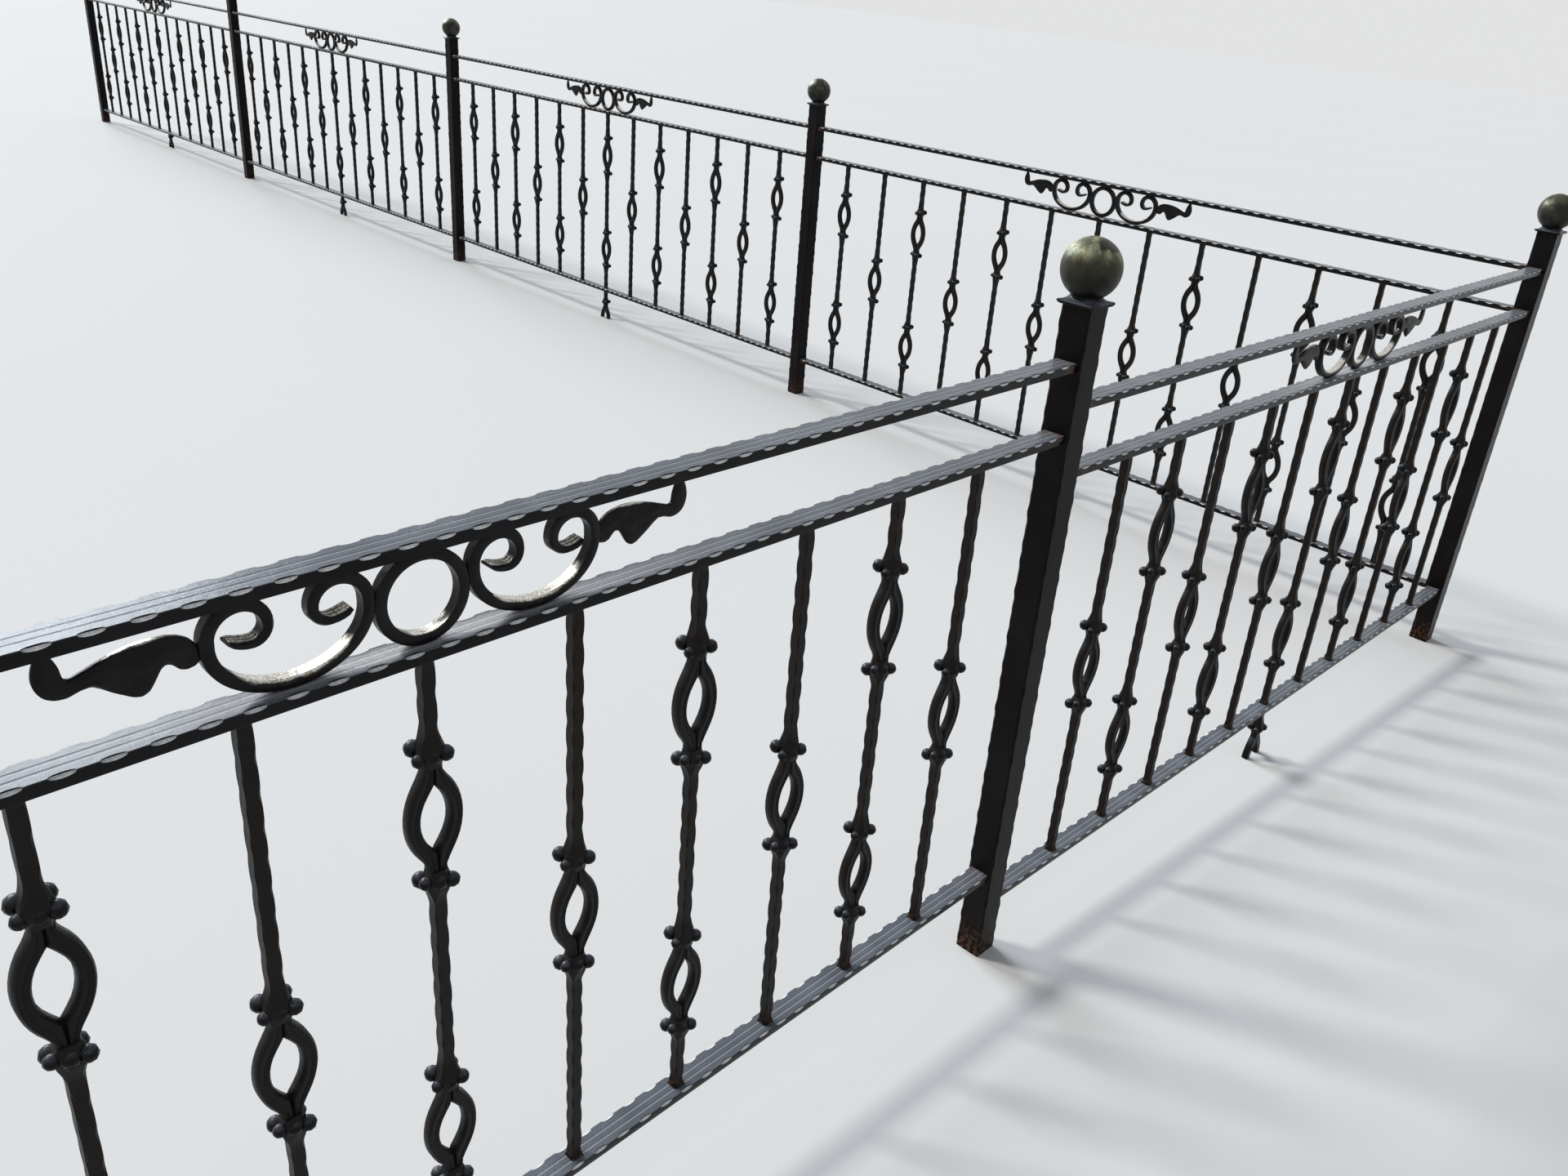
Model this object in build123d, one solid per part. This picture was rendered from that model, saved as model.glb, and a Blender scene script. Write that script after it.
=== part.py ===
"""A wrought iron railing of six bays that turns a corner on a sloping wall.

The origin is the centre of the corner post's foot. The near run goes along -X
in two bays, bends a little at its first post and steps up with the wall. The far
run goes along +Y in four bays, all at one level, so its posts are cut shorter as
the wall climbs. Each bay is level and hangs between two posts.
"""
import math
import os

from build123d import *

# The two runs: post centre to post centre, and how the wall climbs from the corner
near_bay = 1825.0
near_bays = 2
near_rise = 47.0
near_step = 55.0
near_bend = 1.3
far_bay = 2260.0
far_bays = 4
far_rise = 15.0
far_post_drop = 12.0

# Posts, square tube with hammered corners, drawn solid
post_width = 42.0
post_height = 1006.0
post_corner = 2.5

# Post caps, a square dish that sweeps up to a round neck
cap_width = 54.0
cap_edge = 4.0
cap_shoulder_width = 46.0
cap_shoulder_rise = 2.5
cap_top_width = 42.0
cap_top_rise = 2.0
neck_diameter = 40.0
neck_height = 2.7
ball_diameter = 76.0
ball_seat_depth = 5.7

# Rails, flat bar with grooves along the top and bevelled arrises
rail_width = 30.0
rail_thickness = 11.0
rail_bevel_width = 2.0
rail_bevel_drop = 3.0
rail_groove_count = 3
rail_groove_spacing = 3.6
rail_groove_width = 1.8
rail_groove_depth = 1.2
bottom_rail_level = 145.0
baluster_height = 680.0
frieze_gap = 82.5

# Balusters, square bar
near_balusters = 11
near_end_space = 176.0
far_balusters = 13
far_end_space = 161.5
bar_width = 12.0

# Knots on the balusters: an open eye between two beaded collars
knot_end_space = 158.0
eye_width = 53.0
eye_hole_width = 32.0
eye_hole_height = 74.0
eye_side_facets = 3
collar_spacing = 132.0
collar_width = 42.0
collar_end_width = 26.0
collar_height = 24.0

# Scrollwork between the top and middle rails
scroll_depth = 12.0
scroll_bar = 10.0
scroll_width = 130.0
scroll_belly_rise = 50.0
scroll_crest_radius = 24.0
scroll_curl_radius = 19.5
scroll_hook_radius = 12.5
scroll_tongue_radius = 30.0
scroll_tongue_angle = 34.0
scroll_weld = 1.0

# Leaves at either end of the scrollwork
leaf_depth = 9.0
leaf_length = 104.0
leaf_root_high = 52.0
leaf_crown_from_root = 36.0
leaf_crown_rise = 65.0
leaf_stem_low = 46.0
leaf_stem_high = 55.0
leaf_tip_width = 12.0
leaf_tip_flat = 5.0
leaf_tip_bend = 62.0

# The lower edge of a leaf from its tip to its root: each notch, and the lowest point of the
# lobe before it, as distance from the root and rise above the middle rail
leaf_notches = ((66.0, 48.0), (49.0, 39.5), (17.5, 48.0), (0.0, 43.0))
leaf_lobes = (None, (57.0, 40.0), (33.0, 31.0), (7.0, 39.0))

middle_rail_level = bottom_rail_level + baluster_height + rail_thickness
top_rail_level = middle_rail_level + frieze_gap + rail_thickness
eye_height = collar_spacing - collar_height


def extrude_across(face, depth):
    """Thicken a face drawn in the upright plane of a bay to both sides."""
    return extrude(face, amount=depth / 2, both=True)


def upright(*edges):
    """Close edges drawn in the upright X, Z plane of a bay into a face."""
    return Plane.XZ * make_face(edges)


def post(height):
    """One square post with its four long corners taken off, and its cap welded on."""
    outline = chamfer(Rectangle(post_width, post_width).vertices(), post_corner)
    return extrude(outline, amount=height) + Pos(0, 0, height) * post_cap()


def post_cap():
    """The dished square cap with its round neck, standing on Z = 0."""
    shoulder_level = cap_edge + cap_shoulder_rise
    top_level = shoulder_level + cap_top_rise
    plate = extrude(Rectangle(cap_width, cap_width), amount=cap_edge)
    levels = ((cap_edge, cap_width), (shoulder_level, cap_shoulder_width), (top_level, cap_top_width))
    sections = [Plane.XY.offset(level) * Rectangle(width, width) for level, width in levels]
    neck = Pos(0, 0, top_level) * extrude(Circle(neck_diameter / 2), amount=neck_height)
    return plate + loft(sections, ruled=True) + neck


def cap_top_level():
    """Height of the top of the neck above the foot of the cap."""
    return cap_edge + cap_shoulder_rise + cap_top_rise + neck_height


def ball():
    """The ball, cut flat where it sits on the neck, standing on Z = 0."""
    radius = ball_diameter / 2
    whole = Pos(0, 0, radius - ball_seat_depth) * Sphere(radius)
    below = Pos(0, 0, -ball_diameter / 2) * Box(ball_diameter, ball_diameter, ball_diameter)
    return whole - below


def rail_profile():
    """Section of a rail with its top face on Z = 0."""
    half = rail_width / 2
    points = [(-half, -rail_thickness), (-half, -rail_bevel_drop), (-half + rail_bevel_width, 0)]
    for index in range(rail_groove_count):
        centre = (index - (rail_groove_count - 1) / 2) * rail_groove_spacing
        points.append((centre - rail_groove_width / 2, 0))
        points.append((centre, -rail_groove_depth))
        points.append((centre + rail_groove_width / 2, 0))
    points += [(half - rail_bevel_width, 0), (half, -rail_bevel_drop), (half, -rail_thickness)]
    return Plane.YZ * make_face(Polyline(*points, close=True))


def rail(bay, level, end_turn):
    """A rail with its top face at a level, its far end cut to a post that is turned by an angle."""
    to_post_centre = Pos(post_width / 2, 0, level) * extrude(rail_profile(), amount=bay - post_width / 2)
    end_post = Rot(0, 0, end_turn) * Box(post_width, post_width, 4 * rail_thickness)
    return to_post_centre - Pos(bay, 0, level) * end_post


def bowed_side(width, height, facets):
    """Points down one bowed side of an eye, from its top to its foot."""
    bow = width / 2
    radius = (bow ** 2 + (height / 2) ** 2) / (2 * bow)
    reach = math.asin(height / 2 / radius)
    angles = [reach * (1 - 2 * index / facets) for index in range(facets + 1)]
    return [(bow - radius + radius * math.cos(angle), radius * math.sin(angle)) for angle in angles]


def eye():
    """The open eye between two collars: two bowed bars that meet above and below."""
    neck = bar_width / 2
    outer = [(neck + across, along) for across, along in
             bowed_side(eye_width - bar_width, eye_height, eye_side_facets)]
    inner = bowed_side(eye_hole_width, eye_hole_height, eye_side_facets)
    outline = outer + [(-across, along) for across, along in reversed(outer)]
    hole = inner + [(-across, along) for across, along in reversed(inner[1:-1])]
    face = make_face(Polyline(*outline, close=True)) - make_face(Polyline(*hole, close=True))
    return extrude_across(Plane.XZ * face, bar_width)


def collar():
    """A beaded collar round the bar, with a point over each of its four sides."""
    middle_side, end_side = collar_width / math.sqrt(2), collar_end_width / math.sqrt(2)
    slope = math.degrees(math.atan((middle_side - end_side) / collar_height))
    upper = extrude(Rot(0, 0, 45) * Rectangle(middle_side, middle_side), amount=collar_height / 2, taper=slope)
    return upper + mirror(upper, Plane.XY)


def bar(low, high):
    """A length of square bar between two heights."""
    return Pos(0, 0, (low + high) / 2) * Box(bar_width, bar_width, high - low)


def baluster(knot_heights):
    """A square bar that opens into an eye, held by two collars, at each of the given heights."""
    pieces = []
    low = 0
    for height in knot_heights:
        pieces.append(bar(low, height - eye_height / 2))
        pieces.append(Pos(0, 0, height) * eye())
        pieces += [Pos(0, 0, height + side * collar_spacing / 2) * collar() for side in (-1, 1)]
        low = height + eye_height / 2
    return bar(low, baluster_height).fuse(*pieces).clean()


def balusters(bay, count, end_space, twin, single):
    """The row of balusters of one bay, with two knots on the middle one and every second from it."""
    pitch = (bay - 2 * end_space) / (count - 1)
    middle = (count - 1) // 2
    row = []
    for index in range(count):
        kind = twin if (index - middle) % 2 == 0 else single
        row.append(Pos(end_space + index * pitch, 0, bottom_rail_level) * kind)
    return row


def support(length):
    """The short leg under a bottom rail: a collar above the upper half of an eye, its top on Z = 0."""
    eye_level = -length
    legs = Pos(0, 0, eye_level) * eye()
    stem = bar(eye_level + eye_height / 2, 0)
    whole = legs + stem + Pos(0, 0, eye_level + collar_spacing / 2) * collar()
    below = Pos(0, 0, eye_level - eye_height / 2) * Box(eye_width * 2, eye_width, eye_height)
    return whole - below


def scroll_half():
    """One half of a scroll: belly, side, crest, curl and tongue, on the right of its centre line."""
    half = scroll_width / 2 - scroll_bar / 2
    crest_level = frieze_gap - scroll_bar / 2
    crest_centre = (half - scroll_crest_radius, crest_level - scroll_crest_radius)
    curl_centre = (crest_centre[0], crest_level - scroll_curl_radius)
    hook_centre = (curl_centre[0] - scroll_curl_radius + scroll_hook_radius, curl_centre[1])
    tongue_centre = (hook_centre[0], hook_centre[1] - scroll_hook_radius + scroll_tongue_radius)
    belly = EllipticalCenterArc((0, scroll_belly_rise), half, scroll_belly_rise - scroll_bar / 2, 270, arc_size=90)
    side = Line((half, scroll_belly_rise), (half, crest_centre[1]))
    crest = CenterArc(crest_centre, scroll_crest_radius, 0, 90)
    curl = CenterArc(curl_centre, scroll_curl_radius, 90, 90)
    hook = CenterArc(hook_centre, scroll_hook_radius, 180, 90)
    tongue = CenterArc(tongue_centre, scroll_tongue_radius, 270, scroll_tongue_angle)
    return [belly, side, crest, curl, hook, tongue]


def scroll():
    """A C-scroll lying open to the top, standing on Z = 0."""
    half = trace(Curve() + scroll_half(), scroll_bar)
    return Plane.XZ * (half + mirror(half, Plane.YZ))


def ring():
    """The ring that fills the frieze between the two scrolls."""
    radius = frieze_gap / 2
    return Plane.XZ * (Pos(0, radius) * (Circle(radius) - Circle(radius - scroll_bar)))


def leaf():
    """A lobed leaf from the side of a scroll, its tip turned up to the top rail."""
    tip_start = leaf_length - leaf_tip_width
    tip_centre = leaf_length - leaf_tip_width / 2
    seat_start, seat_end = tip_centre - leaf_tip_flat / 2, tip_centre + leaf_tip_flat / 2
    under = (tip_start - leaf_tip_width / 2, leaf_stem_low)
    back = ThreePointArc((0, leaf_root_high), (leaf_crown_from_root, leaf_crown_rise), (tip_start, leaf_stem_high))
    rise = Line((tip_start, leaf_stem_high), (seat_start, frieze_gap))
    seat = Line((seat_start, frieze_gap), (seat_end, frieze_gap))
    turn = ThreePointArc((seat_end, frieze_gap), (leaf_length, leaf_tip_bend), under)
    edges = [back, rise, seat, turn]
    last = under
    for notch, lobe in zip(leaf_notches, leaf_lobes):
        if lobe is None:
            edges.append(Line(last, notch))
        else:
            edges.append(ThreePointArc(last, lobe, notch))
        last = notch
    edges.append(Line(last, (0, leaf_root_high)))
    return upright(*edges)


def scrollwork(bay):
    """Leaf, scroll, ring, scroll and leaf, welded in one, in the middle of a bay."""
    scroll_centre = frieze_gap / 2 + scroll_width / 2 - scroll_weld
    leaf_start = scroll_centre + scroll_width / 2 - scroll_weld
    half = extrude_across(Pos(scroll_centre, 0, 0) * scroll(), scroll_depth)
    half += extrude_across(Pos(leaf_start, 0, 0) * leaf(), leaf_depth)
    whole = half + extrude_across(ring(), scroll_depth) + mirror(half, Plane.YZ)
    return Pos(bay / 2, 0, middle_rail_level) * whole


def bay_pieces(bay, count, end_space, twin, single, foot, end_turn=0.0):
    """The pieces of one bay from its lower post, keyed by the plain part of their names."""
    bottom = rail(bay, bottom_rail_level, end_turn)
    underside = bottom_rail_level - rail_thickness
    bottom += Pos(bay / 2, 0, underside) * support(underside - foot)
    return {
        "top_rail": rail(bay, top_rail_level, end_turn),
        "middle_rail": rail(bay, middle_rail_level, end_turn),
        "bottom_rail": bottom,
        "balusters": Compound(balusters(bay, count, end_space, twin, single)),
        "scrollwork": scrollwork(bay),
    }


def near_place(index):
    """Where a post of the near run stands on level ground, with X on along the run.

    The first bay is square to the far run, and what follows bends outwards from its end.
    """
    if index == 0:
        return Rot(0, 0, 180)
    bend = Pos(-near_bay, 0, 0) * Rot(0, 0, 180 + near_bend)
    return bend * Pos((index - 1) * near_bay, 0, 0)


def far_place(index):
    """Where a post of the far run stands on level ground, with X on along the run."""
    return Pos(0, index * far_bay, 0) * Rot(0, 0, 90)


def write(name, shape):
    """Write one piece to its own file."""
    export_step(shape, f"parts/{name}.step")


def write_post(name, place, height):
    """Write a post of a height and the ball on its cap."""
    write(f"{name}_post", place * post(height))
    write(f"{name}_ball", place * Pos(0, 0, height + cap_top_level()) * ball())


def write_bay(name, place, pieces):
    """Write the pieces of a bay, carried from its own lower post to its place."""
    for piece_name, shape in pieces.items():
        write(f"{name}_{piece_name}", place * shape)


def main():
    """Build every post and bay and write each piece."""
    os.makedirs("parts", exist_ok=True)
    twin = baluster((knot_end_space, baluster_height - knot_end_space))
    single = baluster((baluster_height / 2,))
    write_post("corner", near_place(0), post_height)
    for index in range(1, near_bays + 1):
        write_post(f"near_{index}", Pos(0, 0, index * near_rise) * near_place(index), post_height)
    for index in range(1, far_bays + 1):
        height = post_height - far_post_drop - index * far_rise
        write_post(f"far_{index}", Pos(0, 0, index * far_rise) * far_place(index), height)
    for index in range(near_bays):
        foot = (index + 0.5) * near_rise - index * near_step
        end_turn = near_bend if index == 0 else 0.0
        pieces = bay_pieces(near_bay, near_balusters, near_end_space, twin, single, foot, end_turn)
        write_bay(f"near_{index + 1}", Pos(0, 0, index * near_step) * near_place(index), pieces)
    for index in range(far_bays):
        foot = (index + 0.5) * far_rise
        pieces = bay_pieces(far_bay, far_balusters, far_end_space, twin, single, foot)
        write_bay(f"far_{index + 1}", far_place(index), pieces)


main()
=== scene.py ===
"""The finish of a wrought iron railing with hammered bars, knots, scrolls and gold balls.

Every piece is worked out in millimetres in the frame of its own bay or post, as whole
arrays, and carried to its place when its mesh is made. Each point also carries two marks
from 0 to 1: how worn the paint is there, which on the rails also places painted
highlights, and how rusty it is.
"""
import math

import bpy
import numpy as np
from mathutils import Matrix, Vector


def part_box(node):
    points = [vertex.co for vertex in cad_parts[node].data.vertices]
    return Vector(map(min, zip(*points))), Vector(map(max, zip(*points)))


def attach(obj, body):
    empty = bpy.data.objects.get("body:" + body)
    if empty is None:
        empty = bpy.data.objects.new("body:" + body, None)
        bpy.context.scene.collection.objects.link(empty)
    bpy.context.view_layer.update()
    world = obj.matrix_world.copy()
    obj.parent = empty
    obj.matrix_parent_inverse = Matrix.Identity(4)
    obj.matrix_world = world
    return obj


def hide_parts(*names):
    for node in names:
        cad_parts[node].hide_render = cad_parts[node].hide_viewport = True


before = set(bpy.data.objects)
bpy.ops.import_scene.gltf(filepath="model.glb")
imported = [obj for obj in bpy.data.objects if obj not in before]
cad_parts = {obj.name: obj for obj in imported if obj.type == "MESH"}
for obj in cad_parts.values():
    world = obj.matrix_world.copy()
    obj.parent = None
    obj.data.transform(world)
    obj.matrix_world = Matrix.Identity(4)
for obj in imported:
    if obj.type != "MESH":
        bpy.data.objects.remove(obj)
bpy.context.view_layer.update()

metre = 1000.0

# The columns of a piece's marks
worn_mark, rust_mark = 0, 1

# Which posts stand at the lower and the upper end of each bay
bays = {
    "near_1": ("corner", "near_1"),
    "near_2": ("near_1", "near_2"),
    "far_1": ("corner", "far_1"),
    "far_2": ("far_1", "far_2"),
    "far_3": ("far_2", "far_3"),
    "far_4": ("far_3", "far_4"),
}
posts = ["corner", "near_1", "near_2", "far_1", "far_2", "far_3", "far_4"]

# How many balusters a bay of each run has, and the space from post centre to the first of them
rows = {"near": (11, 176.0), "far": (13, 161.5)}

# How far a piece runs into the next one that it is forged from or welded to, in millimetres
overlap = 1.0

# Posts: the cuts along their corners, and each wave's pitch and its lag from corner to corner
post_half = 21.0
post_rings = 190
post_cut = 2.4
post_cut_wave = 0.6
post_waves = ((37.0, 1.3), (23.0, 2.9), (61.0, 0.7))
post_wear = 0.12
post_rust_reach = 40.0

# Dished caps: rise, share of the half width, sharpness of the corners and share of their lift
cap_half = 27.0
cap_rise = 11.2
cap_sides = 56
cap_corner_lift = 1.2
cap_rim_rings = slice(1, 6)
neck_top = cap_rise + 1.5
cap_profile = np.array([
    (-1.0, 0.78, 14, 0), (-0.6, 0.92, 14, 1), (0.6, 0.98, 16, 1), (1.9, 1.0, 18, 1),
    (3.0, 0.985, 16, 1), (3.7, 0.94, 12, 0.9), (4.3, 0.89, 8, 0.6), (5.1, 0.84, 5, 0.3),
    (6.4, 0.79, 3.4, 0), (8.0, 0.755, 2.6, 0), (9.6, 0.74, 2.1, 0),
    (neck_top - 0.8, 0.745, 2, 0), (neck_top, 0.76, 2, 0),
])

# Balls on the posts
ball_dent = 0.5
ball_rings, ball_sides = 46, 72

# Hammered square bar: its corner cuts, and by how much in what height their pitch strays
bar_half = 6.0
bar_dent_pitch = 30.0
bar_cut_least = 0.4
bar_cut_most = 2.2
bar_rings_per_dent = 8
bar_stray = 0.9
bar_stray_height = 47.0
bar_stray_lag = 1.7
bar_wear = 0.6
weld_swell = 1.6
weld_reach = 2.5
foot_rust_reach = 14.0
head_rust, head_rust_reach = 0.5, 8.0

# Knots: an open eye between two collars of balls
knot_end_space = 158.0
eye_half_width = 26.5
eye_half_height = 54.0
eye_arc_half_height = 46.0
eye_hole_half_width = 14.2
eye_hole_half_height = 33.0
eye_half_depth = 6.4
eye_neck = 8.6
eye_rings = 17
eye_wear, eye_rim_wear = 0.3, 0.6

# Section of an eye's side: shares of the way from the hole to the rim, and of the half depth
eye_across = np.array([0.14, 0.42, 0.5, 0.58, 0.86, 1, 1, 0.86, 0.58, 0.5, 0.42, 0.14, 0, 0])
eye_depth = np.array([-1, -1, -0.9, -1, -1, -0.6, 0.6, 1, 1, 0.9, 1, 1, 0.62, -0.62])

# A collar's balls: the turn about the bar in degrees, how far out, how high, and the radius
collar_balls = [
    (225, 13.8, 1.2, 7.2), (315, 14.0, 1.6, 7.9), (138, 13.4, -0.8, 7.2),
    (15, 12.8, -3.2, 6.2), (80, 5.6, -2.0, 8.4),
]
collar_ball_rings, collar_ball_sides = 5, 9
collar_from_knot = 66.0
collar_swell = 5.8
collar_round = 5.2
collar_reach = 13.5

# Rails with two grooves along the top and a lip along each lower arris
rail_half = 15.0
rail_lip = 0.9
rail_lip_lean = 0.3
rail_rust_reach = 22.0
arris = 0.45
groove_offset = 4.5
groove_half = 1.3
groove_depth = 0.4
groove_guard = 0.8
# A painted highlight along the front edge of each groove
groove_highlight = 0.3
# A painted glare on the middle rail's top: its reach from the middle and its strength
middle_rail_glare_reach = 190.0
glare_strength = 0.45

# Crescent dents along both top arrises: a wall above, a shelf below
dent_pitch = 31.5
dent_half_length = 8.8
dent_across = 2.6
dent_wall = 1.3
dent_down = 2.5
wall_lean = 0.3
wall_foot_round = 0.12
shelf_rim_round = 0.15
dent_steps = np.array([-1, -0.86, -0.5, 0, 0.5, 0.86, 1])

# Which points of a rail's section lie on the dents' shelves, on the grooves' edges, on the top
shelf_points = [3, 4, -5, -4]
groove_points = [8, 13]
top_points = slice(7, -7)

# Scrolls: the arcs of their middle line, and how far apart its points lie
scroll_width = 130.0
scroll_belly_rise = 50.0
belly_points = 26
crest_radius = 24.0
curl_radius = 19.5
hook_radius = 12.5
tongue_radius = 30.0
tongue_angle = 34.0
arc_step = 3.2
hook_step = 2.4
ring_points = 48

# The scrolls' bar, and how it thins and deepens toward a tongue's tip
scroll_bar = 10.0
scroll_depth = 12.0
tongue_bar = 4.2
tongue_depth = 18.0
taper_start, taper_length, taper_power = 4.0, 55.0, 0.7
deepening_length = 42.0
rib_length, rib_height = 30.0, 2.0
tip_width, tip_depth = 0.6, 0.86

# Section of the scrolls' bar: shares of its depth and of its width, the inner side up
section_across = np.array([-0.36, 0.36, 0.5, 0.5, 0.42, 0.28, 0.14, 0, -0.14, -0.28, -0.42,
                           -0.5, -0.5])
section_inward = np.array([-0.5, -0.5, -0.3, 0.3, 0.5, 0.5, 0.5, 0.5, 0.5, 0.5, 0.5, 0.3, -0.3])
rib_points = slice(5, 10, 2)
inner_points = slice(4, 11)
inner_edges = [3, 11]

# Gold brushed on the inner sides: it starts at a level and is full a fade lower down
scroll_gilt_level, scroll_gilt_fade = 31.0, 17.0
edge_gilt = 0.5
# On the tongues, and in full on their ribs, the gold is partly a painted highlight
tongue_gilt_and_highlight = 0.3
tongue_highlight_gain = 3
ring_gilt, ring_gilt_level, ring_gilt_fade = 0.7, 30.0, 24.0
scroll_rust, scroll_rust_reach = 0.25, 8

# Welds of the ornament: how far its pieces overlap, and the blobs between them
scroll_weld = 1.0
blob_radius = 3.2
blob_rings, blob_sides = 4, 8
blob_offset = 3
leaf_weld_level = 46

# Leaves: their edges from root to tip as x and z, and where each edge bends into the curl
leaf_upper = np.array([
    (0, 52), (1.5, 57), (6, 62.5), (12, 66), (20, 68.3), (30, 69.3), (42, 68.6), (54, 66.2),
    (64, 63), (74, 59.4), (81, 57), (84.2, 58), (85, 62), (85.6, 67), (87.6, 73), (90.5, 78),
    (91.5, 82.5),
])
leaf_lower = np.array([
    (0, 43), (3, 40), (9, 38.8), (14, 40.5), (18, 45.5), (22, 47), (26, 44.5), (30, 37),
    (34, 31), (39.5, 28.5), (45, 30), (51, 34), (57, 38), (63, 43), (69, 47), (76, 46.5),
    (84, 44), (91, 44.8), (97, 48), (101, 54), (102.6, 62), (101.6, 69), (99.4, 75), (98, 79),
    (97.5, 82.5),
])
leaf_upper_bend, leaf_lower_bend = 83, 91
blade_share, curl_share = 0.78, 0.22
leaf_rings = 84
leaf_points = 11
leaf_smoothing = np.array([0.25, 0.5, 0.25])

# How a leaf swells: its rim and body, its ends and belly, as shares of its full depth
leaf_depth = 9.0
leaf_rim, leaf_body = 0.24, 0.76
leaf_end, leaf_belly, leaf_belly_pace = 0.55, 0.45, 1.15
vein_height, vein_waves, vein_length = 0.11, 5, 0.8
# Gilt along the leaf's top edge, strongest about its middle; its near-white grains are painted
# glints
leaf_top_gilt, leaf_top_gilt_middle, leaf_top_gilt_reach = 0.75, 0.38, 0.28


def unmarked(rings):
    """The two marks of every point of the rings, all 0."""
    return np.zeros(rings.shape[:2] + (2,))


def skin(rings, marks=None, tips=(None, None)):
    """A closed skin over a stack of rings, given as an array of ring, side and x, y, z.

    Neighbouring rings are joined by quads, and each end is a fan of triangles to its tip,
    which is the middle of the end ring where none is given.
    """
    count, sides, _ = rings.shape
    ring, side = np.meshgrid(np.arange(count - 1), np.arange(sides), indexing="ij")
    here, beside = ring * sides + side, ring * sides + (side + 1) % sides
    quads = np.stack([here, beside, beside + sides, here + sides], axis=-1).reshape(-1, 4)
    side = np.arange(sides)
    beside = (side + 1) % sides
    last = (count - 1) * sides
    start_tip = np.full(sides, count * sides)
    start_fan = np.stack([beside, side, start_tip], axis=-1)
    end_fan = np.stack([last + side, last + beside, start_tip + 1], axis=-1)
    ends = [rings[0].mean(axis=0) if tips[0] is None else tips[0],
            rings[-1].mean(axis=0) if tips[1] is None else tips[1]]
    marks = unmarked(rings) if marks is None else marks
    end_marks = [marks[0].mean(axis=0), marks[-1].mean(axis=0)]
    return (np.vstack([rings.reshape(-1, 3), ends]), np.vstack([marks.reshape(-1, 2), end_marks]),
            quads, np.vstack([start_fan, end_fan]))


def hoop(rings, marks):
    """A closed skin over rings that stand in a circle, the last joined to the first by quads."""
    count, sides, _ = rings.shape
    ring, side = np.meshgrid(np.arange(count), np.arange(sides), indexing="ij")
    following, beside = (ring + 1) % count, (side + 1) % sides
    corners = [ring * sides + side, ring * sides + beside,
               following * sides + beside, following * sides + side]
    quads = np.stack(corners, axis=-1).reshape(-1, 4)
    return rings.reshape(-1, 3), marks.reshape(-1, 2), quads, np.zeros((0, 3), int)


def joined(parts):
    """Several skins as one, each one's corners counted on from the last."""
    starts = np.cumsum([0] + [len(part[0]) for part in parts[:-1]])
    return (np.vstack([part[0] for part in parts]), np.vstack([part[1] for part in parts]),
            np.vstack([part[2] + start for part, start in zip(parts, starts)]),
            np.vstack([part[3] + start for part, start in zip(parts, starts)]))


def copies(part, offsets):
    """The same skin at every offset, by adding each offset to all its points."""
    points, marks, quads, triangles = part
    offsets = np.asarray(offsets, float)
    count = len(offsets)
    shift = np.arange(count)[:, None, None] * len(points)
    return ((points[None] + offsets[:, None]).reshape(-1, 3), np.tile(marks, (count, 1)),
            (quads[None] + shift).reshape(-1, 4), (triangles[None] + shift).reshape(-1, 3))


def moved(part, *offset):
    """A skin carried by x, y and z."""
    return (part[0] + offset,) + part[1:]


def mirrored(part):
    """A skin with left and right changed over, its faces turned so that they still look out."""
    points, marks, quads, triangles = part
    return points * (-1, 1, 1), marks, quads[:, ::-1], triangles[:, ::-1]


def placed(part, origin, along):
    """A skin turned about the upright, its x along a direction, then carried to an origin."""
    points = part[0]
    turned = np.stack([along[0] * points[:, 0] - along[1] * points[:, 1],
                       along[1] * points[:, 0] + along[0] * points[:, 1], points[:, 2]], axis=-1)
    return (turned + origin,) + part[1:]


def piece(name, part, material, nodes, crease=35.0):
    """Make a mesh object of a skin, in metres, that stands for its nodes and rides on the railing.

    Edges that turn by more than the crease, in degrees, stay sharp.
    """
    points, marks, quads, triangles = part
    mesh = bpy.data.meshes.new(name)
    corners = np.concatenate([quads.ravel(), triangles.ravel()]).astype(np.int32)
    sizes = np.concatenate([np.full(len(quads), 4), np.full(len(triangles), 3)])
    mesh.vertices.add(len(points))
    mesh.vertices.foreach_set("co", (points / metre).astype(np.float32).ravel())
    mesh.loops.add(len(corners))
    mesh.loops.foreach_set("vertex_index", corners)
    mesh.polygons.add(len(sizes))
    mesh.polygons.foreach_set("loop_start", (np.cumsum(sizes) - sizes).astype(np.int32))
    mesh.update(calc_edges=True)
    mesh.shade_smooth()
    mesh.set_sharp_from_angle(angle=math.radians(crease))
    for mark, column in (("worn", worn_mark), ("rust", rust_mark)):
        layer = mesh.attributes.new(mark, "FLOAT", "POINT")
        layer.data.foreach_set("value", marks[:, column].astype(np.float32))
    mesh.materials.append(material)
    thing = bpy.data.objects.new(name, mesh)
    bpy.context.scene.collection.objects.link(thing)
    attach(thing, "root")
    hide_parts(*nodes)


def bump_round(distance, reach):
    """A soft bump of height 1: e to the power of minus the square of distance over reach."""
    return np.exp(-(distance / reach) ** 2)


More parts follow.
